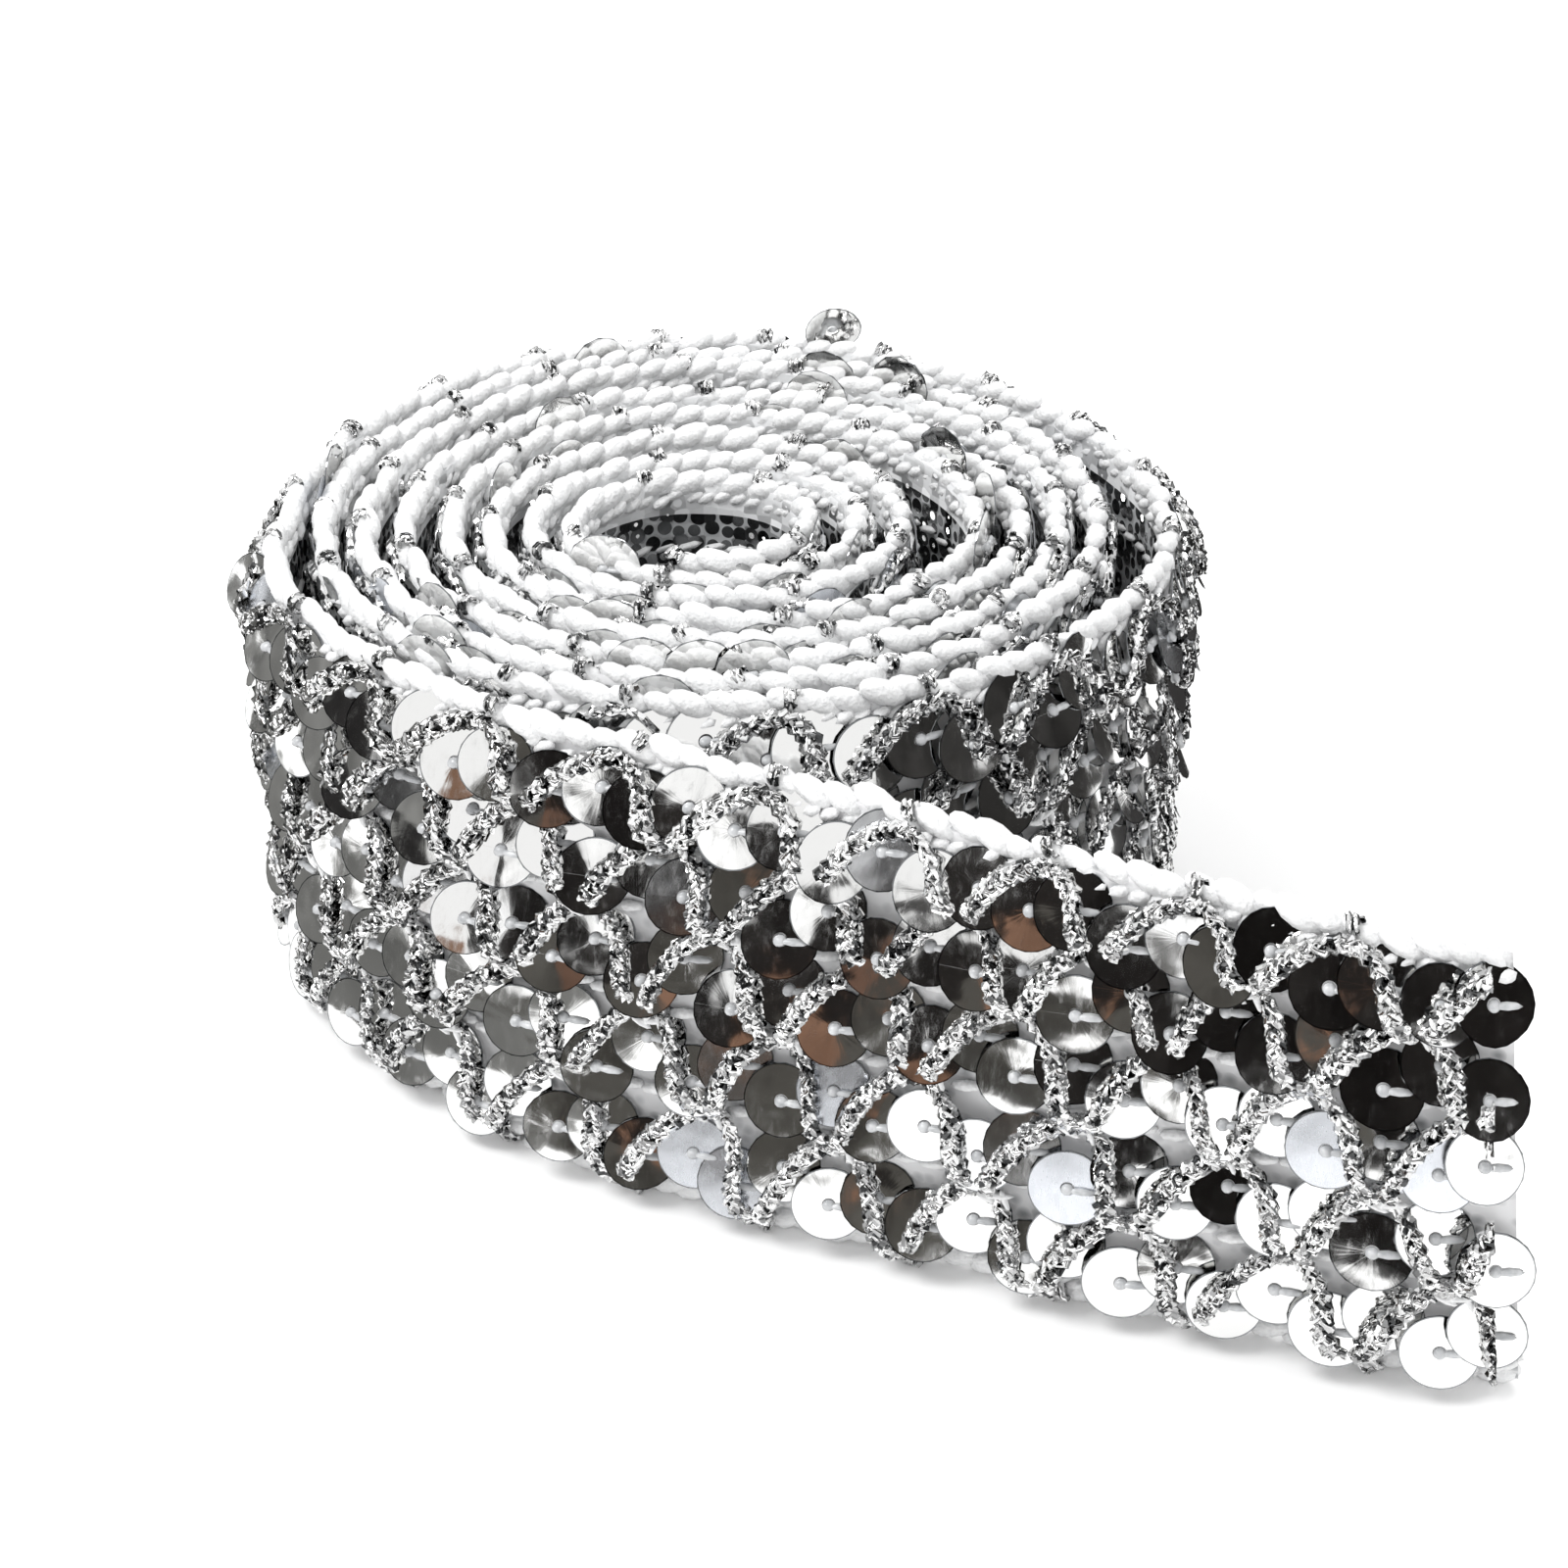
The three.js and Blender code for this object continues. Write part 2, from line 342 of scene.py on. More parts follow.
# Painted shade: the film is dark grey, while the glints of lurex stay bright.
painted_shade_film = add_node(
    back_knit, "ShaderNodeMix", {0: speck, 6: linear("#6a6b6c"), 7: linear("#fafafa")}, data_type="RGBA",
).outputs[2]
back_colour = add_node(
    back_knit, "ShaderNodeMix", {0: seen_through, 6: painted_shade_stitch_colour, 7: painted_shade_film}, data_type="RGBA",
).outputs[2]
back_roughness = add_node(
    back_knit, "ShaderNodeMapRange", {"Value": seen_through, 1: 0, 2: 1, 3: 0.85, 4: 0.25},
).outputs[0]
set_inputs(back_knit, back_surface, {
    "Base Color": back_colour, "Metallic": seen_through, "Roughness": back_roughness,
    "Normal": speck_normal,
})
ground.data.materials[0] = knit
ground.data.materials[1] = back_knit
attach(ground, "root")
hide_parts("ground_band")

# Beaded edge cords
# Both edges end in a crocheted cord of thicker white yarn, whose slanting stitches stand as a row
# of plump beads that run into one another, with a row of smaller ones inside it on either face,
# where the cord grips the ground.
BEAD_PITCH = 2.1 * MM
BEAD_HALF_LENGTH = 1.6 * MM
BEAD_RADIUS = 0.82 * MM
BEAD_SLANT = 24
BEAD_FACES = (8, 6)
BEAD_SPREAD = 0.08
BEAD_JITTER = 0.15 * MM
SMALL_BEAD_PITCH = BEAD_PITCH * 0.6
SMALL_BEAD_SCALE = 0.55
SMALL_BEAD_SLANT = 30
SMALL_BEAD_FACES = (5, 4)
SMALL_BEAD_INSET = 1.9 * MM
SMALL_BEAD_OFF = 0.45 * MM
chance = np.random.default_rng(20)


def made_of(piece, material):
    """Gives a piece its one material."""
    piece.data.materials.clear()
    piece.data.materials.append(material)


def repeated(piece, count, pitch):
    """Repeats a flat piece along the strip, and gives its points copy by copy."""
    modified(
        piece, "ARRAY", count=count, use_relative_offset=False, use_constant_offset=True,
        constant_offset_displace=(pitch, 0, 0),
    )
    return coordinates(piece).reshape(count, -1, 3)


def joined(name, pieces):
    """Joins pieces into the first of them."""
    only(pieces[0])
    for piece in pieces[1:]:
        piece.select_set(True)
    if len(pieces) > 1:
        bpy.ops.object.join()
    pieces[0].name = pieces[0].data.name = name
    return pieces[0]


def stitch(name, half_length, radius, place, turn=0, faces=(6, 4)):
    """One stitch of yarn, a long bead lying flat on the trim, turned about its face's normal."""
    bpy.ops.mesh.primitive_uv_sphere_add(
        segments=faces[0], ring_count=faces[1], radius=1, location=place,
        rotation=(0, math.radians(90), math.radians(turn)), scale=(radius, radius, half_length),
    )
    return new_piece(name)


def bead_row(name, across, off, scale, slant, pitch, faces):
    """A row of stitches along an edge, each a slanting bead of yarn, none quite like the next."""
    half_length, radius = BEAD_HALF_LENGTH * scale, BEAD_RADIUS * scale
    row = stitch(name, half_length, radius, (pitch / 2, across, off), slant, faces)
    count = round(STRIP_LENGTH / pitch)
    beads = repeated(row, count, STRIP_LENGTH / count)
    middles = beads.mean(axis=1, keepdims=True)
    sizes = chance.normal(1, BEAD_SPREAD, (count, 1, 1))
    beads = middles + (beads - middles) * sizes + chance.normal(0, BEAD_JITTER, (count, 1, 3))
    set_coordinates(row, beads.reshape(-1, 3))
    return row


bead_rows = []
for edge, inward in ((0, 1), (TRIM_WIDTH, -1)):
    bead_rows.append(bead_row(
        "edge_beads", edge + inward * BEAD_RADIUS, 0, 1, inward * BEAD_SLANT, BEAD_PITCH, BEAD_FACES,
    ))
    for side in (-1, 1):
        bead_rows.append(bead_row(
            "small_beads", edge + inward * SMALL_BEAD_INSET, side * SMALL_BEAD_OFF, SMALL_BEAD_SCALE,
            side * SMALL_BEAD_SLANT, SMALL_BEAD_PITCH, SMALL_BEAD_FACES,
        ))
edge_cords = joined("beaded_edge_cords", bead_rows)
bpy.ops.object.shade_smooth()
wind(edge_cords)

# Filament polyester yarn: bright white with a soft shine, and a fine relief of its ends on each
# bead, with painted shade that makes it a little darker in its hollows
TWIST_PITCH = 0.35 * MM
edge_yarn, edge_surface = new_material("white filament yarn")
edge_place = add_node(edge_yarn, "ShaderNodeTexCoord").outputs["Object"]
twist = add_node(
    edge_yarn, "ShaderNodeTexNoise", {"Vector": edge_place, "Scale": 1 / TWIST_PITCH, "Detail": 2},
).outputs["Fac"]
edge_bump = add_node(
    edge_yarn, "ShaderNodeBump", {"Height": twist, "Strength": 0.8, "Distance": 0.2 * MM},
).outputs[0]
# Painted shade: the yarn is a little grey where its relief is low.
painted_shade_edge_colour = add_node(
    edge_yarn, "ShaderNodeMix", {0: twist, 6: linear("#d9dadb"), 7: linear("#fbfbfb")}, data_type="RGBA",
).outputs[2]
set_inputs(edge_yarn, edge_surface, {
    "Base Color": painted_shade_edge_colour, "Roughness": 0.45, "Normal": edge_bump, "Sheen Weight": 0.3,
})
made_of(edge_cords, edge_yarn)
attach(edge_cords, "root")

# Sequins
# Five rows of flat discs of the 5 mm size, punched from silver-coated polyester film with a 1 mm
# hole. Each row is strung on a thread between two levels of the lattice. The discs lie over one
# another, one a little higher and the next a little lower, with their left and lower edges
# standing proud. They are polygons, and their radius, to the corners, is a little over half of 5 mm.
SEQUIN_RADIUS = 2.6 * MM
SEQUIN_HOLE = 0.5 * MM
SEQUIN_THICKNESS = 0.1 * MM
SEQUIN_SEGMENTS = {"packed": 12, "shown": 20}
SHARP_ANGLE = 40
LATTICE_LEVELS = [1.3 * MM, 9.1 * MM, 16.4 * MM, 23.6 * MM, 30.0 * MM, 34.9 * MM]
LATTICE_PITCH = 10 * MM
SEQUINS_PER_REPEAT = 3
CONE_HEIGHT = 0.05 * MM
BOW_HEIGHT = 0.035 * MM

# Row by row from below: degrees of tilt back, and how far every other disc stands above the row
# and the rest below it
ROW_BACK = [20, 20, 22, 26, 25]
ZIGZAG = [0.8 * MM, 0.8 * MM, 0.8 * MM, 0.8 * MM, 0.45 * MM]

# How the discs lie where they show and where the turns press on them: degrees of tilt along the
# row, the share of the row's tilt back, their spread, and the middle's height off the ground
LIE = {
    "shown": {"overlap": 10, "back_share": 1, "spread": 3.2, "height": 1.75 * MM},
    "packed": {"overlap": 6, "back_share": 0.2, "spread": 2.5, "height": 1.0 * MM},
}
SEQUIN_STRAY = {"along": 0.25 * MM, "across": 0.3 * MM, "off": 0.06 * MM}

repeats = round(STRIP_LENGTH / LATTICE_PITCH)
LATTICE_PITCH = STRIP_LENGTH / repeats
SEQUIN_PITCH = LATTICE_PITCH / SEQUINS_PER_REPEAT
packed_repeats = round(LAST_TURN_ALONG / LATTICE_PITCH)
shown_repeats = repeats - packed_repeats
shown_start = packed_repeats * LATTICE_PITCH


def sequin(name, segments):
    """One disc, face up at the strip's start: a filled circle, its hole inset, then its thickness."""
    bpy.ops.mesh.primitive_circle_add(vertices=segments, radius=SEQUIN_RADIUS, fill_type="NGON")
    disc = new_piece(name)
    bpy.ops.object.mode_set(mode="EDIT")
    bpy.ops.mesh.select_all(action="SELECT")
    bpy.ops.mesh.inset(thickness=SEQUIN_RADIUS - SEQUIN_HOLE)
    bpy.ops.mesh.delete(type="FACE")
    bpy.ops.object.mode_set(mode="OBJECT")
    modified(disc, "SOLIDIFY", thickness=SEQUIN_THICKNESS, offset=0)
    bpy.ops.object.shade_smooth_by_angle(angle=math.radians(SHARP_ANGLE))
    return disc


def sequin_lies(row, start, count, lie):
    """Where each disc of a stretch of a row lies: middle, tilts, bow and finish.

    A disc raised across the strip also lies nearer the ground, so that a row keeps to one slope.
    """
    row_across = (LATTICE_LEVELS[row] + LATTICE_LEVELS[row + 1]) / 2
    up_or_down = np.where((np.arange(count) + row) % 2, 1, -1)
    back = ROW_BACK[row] * lie["back_share"]
    raised = up_or_down * ZIGZAG[row] + chance.normal(0, SEQUIN_STRAY["across"], count)
    along = start + (np.arange(count) + 0.5) * SEQUIN_PITCH
    off = lie["height"] - raised * math.tan(math.radians(back))
    return {
        "along": along + chance.normal(0, SEQUIN_STRAY["along"], count),
        "across": row_across + raised,
        "off": off + chance.normal(0, SEQUIN_STRAY["off"], count),
        "overlap": np.radians(chance.normal(lie["overlap"], lie["spread"] * 0.7, count)),
        "back": np.radians(chance.normal(back, lie["spread"], count)),
        "bow_turn": chance.uniform(0, math.pi, count),
        "bow": chance.normal(0, 1, count) * BOW_HEIGHT,
        "finish": chance.uniform(0, 1, count),
    }


def laid(points, lies):
    """Lays copies of points down at the middles and tilts of the discs' lies."""
    x, y, z = points[..., 0], points[..., 1], points[..., 2]
    overlap, back = lies["overlap"][:, None], lies["back"][:, None]
    z = z + lies["off"][:, None] - x * np.sin(overlap) - y * np.sin(back)
    x = x * np.cos(overlap) + lies["along"][:, None]
    y = y * np.cos(back) + lies["across"][:, None]
    return np.stack([x, y, z], axis=-1).reshape(-1, 3)


def lay_sequins(stretch, lies):
    """Repeats a disc, gives each copy its own slight cone and bow, and lays it down."""
    count = len(lies["along"])
    row = sequin(f"{stretch}_sequins", SEQUIN_SEGMENTS[stretch])
    discs = repeated(row, count, 0)
    x, y = discs[..., 0], discs[..., 1]
    reach = np.hypot(x, y) / SEQUIN_RADIUS
    turned = x * np.cos(lies["bow_turn"])[:, None] + y * np.sin(lies["bow_turn"])[:, None]
    discs[..., 2] += CONE_HEIGHT * (1 - reach) + lies["bow"][:, None] * (turned / SEQUIN_RADIUS) ** 2
    set_coordinates(row, laid(discs, lies))
    finish = row.data.attributes.new("finish", "FLOAT", "POINT")
    finish.data.foreach_set("value", np.repeat(lies["finish"], discs.shape[1]))
    return row


# A few discs of the top row stand up over the edge: how far along, how far up and how far turned
# about the way across, in degrees
STANDING_DISCS = [
    (47 * MM, 1.6 * MM, 25),
    (898 * MM, 3.9 * MM, 46),
    (966 * MM, 1.5 * MM, 30),
]

# Between the turns some of its other discs have ridden up a little
LOOSE_SHARE = 0.14
LOOSE_RISE = (0.7 * MM, 2.6 * MM)

sequin_rows = []
row_lies = []
for row in range(len(LATTICE_LEVELS) - 1):
    packed = sequin_lies(row, 0, packed_repeats * SEQUINS_PER_REPEAT, LIE["packed"])
    shown = sequin_lies(row, shown_start, shown_repeats * SEQUINS_PER_REPEAT, LIE["shown"])
    if row == len(LATTICE_LEVELS) - 2:
        loose = chance.uniform(0, 1, len(packed["along"])) < LOOSE_SHARE
        packed["across"] += np.where(loose, chance.uniform(*LOOSE_RISE, len(loose)), 0)
        for along, raised, turn in STANDING_DISCS:
            for lies in (packed, shown):
                nearest = np.argmin(np.abs(lies["along"] - along))
                if abs(lies["along"][nearest] - along) < SEQUIN_PITCH:
                    lies["across"][nearest] += raised
                    lies["overlap"][nearest] = math.radians(turn)
    sequin_row = joined(
        f"sequins_row_{row + 1}", [lay_sequins("packed", packed), lay_sequins("shown", shown)],
    )
    wind(sequin_row)
    sequin_rows.append(sequin_row)
    row_lies += [("packed", packed), ("shown", shown)]

# Metallised polyester film: a mirror, a little wavy, with faint scratches from handling, a fine
# grain that runs out from the hole, and a thin dull line where the punch cut it. Some discs are a
# little frosted and bluish. Their finish attribute picks them, and gives each disc its own grain.
# The grain and the line are drawn as coarse as they need to show.
SCRATCH_PITCH = 0.5 * MM
SCRATCH_LENGTHENED = 0.15
WAVE_PITCH = 2.4 * MM
FILM_RELIEF = 0.035 * MM
GRAIN_LINES = 22
GRAIN_SHARE = 0.035
GRAIN_PICK = 90
RIM_SHARE = 0.02
film, film_surface = new_material("metallised polyester film")
film_coordinates = add_node(film, "ShaderNodeTexCoord").outputs
film_place = film_coordinates["Object"]
disc_finish = add_node(film, "ShaderNodeAttribute", attribute_name="finish").outputs["Fac"]
frosted = add_node(
    film, "ShaderNodeMapRange", {"Value": disc_finish, 1: 0.88, 2: 0.96, 3: 0, 4: 1},
).outputs[0]
scratch_place = add_node(
    film, "ShaderNodeMapping", {"Vector": film_place, "Scale": (1, 1, SCRATCH_LENGTHENED)},
).outputs[0]
scratches = add_node(
    film, "ShaderNodeTexNoise",
    {"Vector": scratch_place, "Scale": 1 / SCRATCH_PITCH, "Detail": 4, "Roughness": 0.7},
).outputs["Fac"]
scratched = add_node(
    film, "ShaderNodeMapRange", {"Value": scratches, 1: 0.5, 2: 0.8, 3: 0.06, 4: 0.16},
).outputs[0]
film_roughness = add_node(
    film, "ShaderNodeMath", {0: frosted, 1: 0.2, 2: scratched}, operation="MULTIPLY_ADD",
).outputs[0]
film_colour = add_node(
    film, "ShaderNodeMix", {0: frosted, 6: linear("#f1f1f0"), 7: linear("#e5e8ee")}, data_type="RGBA",
).outputs[2]
waves = add_node(
    film, "ShaderNodeTexNoise", {"Vector": film_place, "Scale": 1 / WAVE_PITCH, "Detail": 1},
).outputs["Fac"]
from_hole = add_node(
    film, "ShaderNodeVectorMath", {0: film_coordinates["UV"], 1: (0.5, 0.5, 0)}, operation="SUBTRACT",
).outputs[0]
round_hole = add_node(
    film, "ShaderNodeTexGradient", {"Vector": from_hole}, gradient_type="RADIAL",
).outputs["Fac"]
grain_place = add_node(
    film, "ShaderNodeMath", {0: disc_finish, 1: GRAIN_PICK, 2: round_hole}, operation="MULTIPLY_ADD",
).outputs[0]
grain = add_node(
    film, "ShaderNodeTexNoise", {"W": grain_place, "Scale": GRAIN_LINES, "Detail": 2},
    noise_dimensions="1D",
).outputs["Fac"]
film_height = add_node(
    film, "ShaderNodeMath", {0: grain, 1: GRAIN_SHARE, 2: waves}, operation="MULTIPLY_ADD",
).outputs[0]
film_bump = add_node(
    film, "ShaderNodeBump", {"Height": film_height, "Strength": 1, "Distance": FILM_RELIEF},
).outputs[0]
disc_reach = add_node(film, "ShaderNodeVectorMath", {0: from_hole}, operation="LENGTH").outputs["Value"]
rim = add_node(
    film, "ShaderNodeMath", {0: disc_reach, 1: 0.5 - RIM_SHARE}, operation="GREATER_THAN",
).outputs[0]
rimmed_colour = add_node(
    film, "ShaderNodeMix", {0: rim, 6: film_colour, 7: linear("#87898b")}, data_type="RGBA",
).outputs[2]
set_inputs(film, film_surface, {
    "Base Color": rimmed_colour, "Metallic": 1.0, "Roughness": film_roughness, "Normal": film_bump,
})
for number, sequin_row in enumerate(sequin_rows, start=1):
    made_of(sequin_row, film)
    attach(sequin_row, "root")
    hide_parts(f"sequin_row_{number}")

# Sequin threads
# A clear-white nylon thread comes up through each hole as a small knob and runs to the right,
# under the next disc.
KNOB_RADIUS = 0.37 * MM
KNOB_HALF_LENGTH = KNOB_RADIUS * 1.15
KNOB_PLACE = (0, 0, 0.15 * MM)
TAIL_RADIUS = 0.24 * MM
TAIL_HALF_LENGTH = 0.95 * MM
TAIL_PLACE = (TAIL_HALF_LENGTH, 0, 0.22 * MM)
KNOB_FACES = {"shown": (8, 5), "packed": (5, 3)}
STITCH_FACES = {"shown": (6, 4), "packed": (5, 3)}
thread_pieces = []
for stretch, lies in row_lies:
    thread = joined("sequin_thread", [
        stitch("knob", KNOB_HALF_LENGTH, KNOB_RADIUS, KNOB_PLACE, faces=KNOB_FACES[stretch]),
        stitch("tail", TAIL_HALF_LENGTH, TAIL_RADIUS, TAIL_PLACE, faces=STITCH_FACES[stretch]),
    ])
    copies = repeated(thread, len(lies["along"]), 0)
    set_coordinates(thread, laid(copies, lies))
    thread_pieces.append(thread)
threads = joined("sequin_threads", thread_pieces)
bpy.ops.object.shade_smooth()
wind(threads)

# Nylon monofilament: milky, mottled from grey to white, and so smooth that each knob has a small
# highlight
MOTTLE_SIZE = 0.6 * MM
nylon, nylon_surface = new_material("milky nylon thread")
nylon_place = add_node(nylon, "ShaderNodeTexCoord").outputs["Object"]
nylon_mottle = add_node(
    nylon, "ShaderNodeTexNoise", {"Vector": nylon_place, "Scale": 1 / MOTTLE_SIZE, "Detail": 2},
).outputs["Fac"]
nylon_colour = add_node(
    nylon, "ShaderNodeMix", {0: nylon_mottle, 6: linear("#85888c"), 7: linear("#e9eaeb")}, data_type="RGBA",
).outputs[2]
set_inputs(nylon, nylon_surface, {
    "Base Color": nylon_colour, "Roughness": 0.2, "Specular IOR Level": 0.6,
})
made_of(threads, nylon)
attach(threads, "root")

# Lattice yarn
# Silver lurex, a braid of three metallic ends, is laid over the sequins as fish-scale cells 10 mm
# wide: it rises in an arch to the next crossing, bends over, and falls steeply to the one below.
# Where the turns press on it, it lies lower and is made narrower, with two ends.
STRAND_RADIUS = {"shown": 0.3 * MM, "packed": 0.34 * MM}
BRAID_ENDS = {"shown": 3, "packed": 2}
BRAID_STEP = {"shown": 0.42 * MM, "packed": 1.05 * MM}
BRAID_HALF_WIDTH = {"shown": 0.52 * MM, "packed": 0.3 * MM}
BRAID_HALF_DEPTH = 0.16 * MM
BRAID_PERIOD = 2.3 * MM
LATTICE_SHORT = 1.5 * MM

# How far the lattice is off the ground at its crossings, and how much further between them
LATTICE_OFF = {"shown": (1.2 * MM, 1.75 * MM), "packed": (0.95 * MM, 0.45 * MM)}

# The shape of a cell: the rising leg's share of its width, how far each level's cells stand along
# from those below, and the bends of its legs. A leg is lifted most a third of the way up.
RISING_SHARE = 0.6
CELL_SHIFT = 0.6
LEG_POINTS = 40
ARCH_BEND = 1.9
ARCH_LEAN = 1.3
FALL_BEND = 0.05
FALL_SWING = 0.12
LIFT_BEND = 0.62

# How far the legs stray from that shape, and the waves in which they do, as the length of a radian
LATTICE_STRAY = 0.55 * MM
STRAY_WAVES = [(7.3 * MM, 5.1 * MM), (2.7 * MM, 3.7 * MM), (9.7 * MM, 6.3 * MM)]
LIFT_STRAY = 0.08
LIFT_WAVE = 3.9 * MM


def cell_start(level):
    """How far along the strip a level's first crossing is."""
    return LATTICE_PITCH * (CELL_SHIFT * level % 1)


def lattice_legs():
    """The middle lines of one repeat's legs: along, across and how far each is lifted, 0 to 1."""
    legs = []
    part = np.linspace(0, 1, LEG_POINTS)
    swing = np.sin(2 * math.pi * part)
    for level in range(len(LATTICE_LEVELS) - 1):
        low, high = LATTICE_LEVELS[level], LATTICE_LEVELS[level + 1]
        start = cell_start(level)
        rise = 1 - (1 - part) ** ARCH_BEND
        rising_x = start + LATTICE_PITCH * RISING_SHARE * part**ARCH_LEAN
        fall = part - FALL_BEND * swing
        falling_part = part + FALL_SWING * swing
        falling_x = start + LATTICE_PITCH * (RISING_SHARE + (1 - RISING_SHARE) * falling_part)
        for x, height in ((rising_x, rise), (falling_x, 1 - fall)):
            lift = np.sin(math.pi * np.clip(height, 0, 1) ** LIFT_BEND)
            legs.append(np.stack([x, low + (high - low) * height, lift], axis=1))
    return legs


def evenly(line, step):
    """A line's points at an even distance, with the way along it and its side at each."""
    lengths = np.hypot(*np.diff(line[:, :2], axis=0).T)
    along = np.concatenate([[0], np.cumsum(lengths)])
    places = np.linspace(0, along[-1], max(round(along[-1] / step), 2) + 1)
    points = np.stack([np.interp(places, along, line[:, axis]) for axis in range(3)], axis=1)
    forward = np.gradient(points[:, :2], axis=0)
    forward /= np.linalg.norm(forward, axis=1)[:, None]
    return places, points, np.stack([-forward[:, 1], forward[:, 0]], axis=1)


def tubes(name, lines, radius):
    """Four-sided tubes along lines of points, as one mesh."""
    curve = bpy.data.curves.new(name, "CURVE")
    curve.dimensions = "3D"
    curve.bevel_depth = radius
    curve.bevel_resolution = 0
    curve.use_fill_caps = True
    for line in lines:
        spline = curve.splines.new("POLY")
        spline.points.add(len(line) - 1)
        spline.points.foreach_set("co", np.hstack([line, np.ones((len(line), 1))]).ravel())
    piece = bpy.data.objects.new(name, curve)
    bpy.context.collection.objects.link(piece)
    only(piece)
    bpy.ops.object.convert(target="MESH")
    return bpy.context.object


def braided(legs, stretch):
    """The ends of a braid along each leg, crossing one another."""
    rest, lift = LATTICE_OFF[stretch]
    ends = BRAID_ENDS[stretch]
    lines = []
    for leg in legs:
        places, points, side = evenly(leg, BRAID_STEP[stretch])
        for end in range(ends):
            phase = 2 * math.pi * (places / BRAID_PERIOD + end / ends)
            line = points.copy()
            line[:, :2] += side * (BRAID_HALF_WIDTH[stretch] * np.sin(phase))[:, None]
            line[:, 2] = rest + lift * points[:, 2] + BRAID_HALF_DEPTH * np.sin(2 * phase)
            lines.append(line)
    return lines


def loosened(piece, count, start):
    """Repeats one repeat of the lattice, and draws its legs a little out of line."""
    copies = repeated(piece, count, LATTICE_PITCH)
    x, y = copies[..., 0] + start, copies[..., 1]
    inside = np.sin(math.pi * np.clip(y / TRIM_WIDTH, 0, 1)) ** 0.5
    long_wave, short_wave, across_wave = STRAY_WAVES
    copies[..., 0] = x + LATTICE_STRAY * inside * (
        np.sin(x / long_wave[0] + y / long_wave[1])
        + 0.5 * np.sin(x / short_wave[0] - y / short_wave[1])
    )
    stray_across = np.sin(x / across_wave[0] - y / across_wave[1])
    copies[..., 1] = y + LATTICE_STRAY * 0.6 * inside * stray_across
    copies[..., 2] *= 1 + LIFT_STRAY * np.sin(x / LIFT_WAVE) * inside
    set_coordinates(piece, copies.reshape(-1, 3))


def cut_at_end(piece):
    """Cuts a flat piece off a little before the strip's end."""
    only(piece)
    bpy.ops.object.mode_set(mode="EDIT")
    bpy.ops.mesh.select_all(action="SELECT")
    bpy.ops.mesh.bisect(
        plane_co=(STRIP_LENGTH - LATTICE_SHORT, 0, 0), plane_no=(1, 0, 0), clear_outer=True, use_fill=True,
    )
    bpy.ops.object.mode_set(mode="OBJECT")


legs = lattice_legs()
packed_lattice = tubes("packed_lattice", braided(legs, "packed"), STRAND_RADIUS["packed"])
loosened(packed_lattice, packed_repeats, 0)
shown_lattice = tubes("shown_lattice", braided(legs, "shown"), STRAND_RADIUS["shown"])
loosened(shown_lattice, shown_repeats, shown_start)
cut_at_end(shown_lattice)

# Lurex: thin strips of aluminised film twisted round a core, so its many small facets each catch
# the light on their own. Each facet tips the surface its own way, and is drawn coarser than the
# real strip is wide, so that it shows. Some facets are painted dark grey: painted dark reflections.
FACET_SIZE = 0.42 * MM
FACET_TIP = 1.5
lurex, lurex_surface = new_material("silver lurex")
lurex_place = add_node(lurex, "ShaderNodeTexCoord").outputs["Object"]
facets = add_node(
    lurex, "ShaderNodeTexVoronoi", {"Vector": lurex_place, "Scale": 1 / FACET_SIZE, "Randomness": 1},
    feature="F1",
)
facet_tip = add_node(
    lurex, "ShaderNodeVectorMath", {0: facets.outputs["Color"], 1: (0.5, 0.5, 0.5)}, operation="SUBTRACT",
).outputs[0]
yarn_normal = add_node(lurex, "ShaderNodeNewGeometry").outputs["Normal"]
tipped = add_node(
    lurex, "ShaderNodeVectorMath", {0: facet_tip, 1: (FACET_TIP,) * 3, 2: yarn_normal},
    operation="MULTIPLY_ADD",
).outputs[0]
facet_normal = add_node(
    lurex, "ShaderNodeVectorMath", {0: tipped}, operation="NORMALIZE",
).outputs[0]
facet_shade = add_node(
    lurex, "ShaderNodeSeparateColor", {"Color": facets.outputs["Color"]},
).outputs["Red"]
facet_light = add_node(
    lurex, "ShaderNodeMapRange", {"Value": facet_shade, 1: 0.1, 2: 0.45, 3: 0, 4: 1},
).outputs[0]
# Painted reflection: some facets are dark grey, the rest bright silver.
painted_reflection_lurex_colour = add_node(
    lurex, "ShaderNodeMix", {0: facet_light, 6: linear("#4a4b4c"), 7: linear("#f8f8f8")}, data_type="RGBA",
).outputs[2]
set_inputs(lurex, lurex_surface, {
    "Base Color": painted_reflection_lurex_colour, "Metallic": 1.0, "Roughness": 0.12, "Normal": facet_normal,
})

# Edge knots
# Where the lattice reaches an edge, its yarn catches the cord in a small tight knot of two and a
# half turns, every 10 mm. It sits on top of the upper cord, and on the face of the lower one.
KNOT_TURNS = 2.5
KNOT_RADIUS = 0.52 * MM
KNOT_LENGTH = 1.1 * MM
KNOT_STRAND = 0.23 * MM
KNOT_POINTS = 24
KNOT_TURN_SPREAD = 0.35
KNOT_STRAY = 0.5 * MM
KNOT_SPREAD = 0.1
LOWER_KNOT = (0.75 * MM, 0.75 * MM)
UPPER_KNOT = (TRIM_WIDTH - 0.25 * MM, 0.2 * MM)


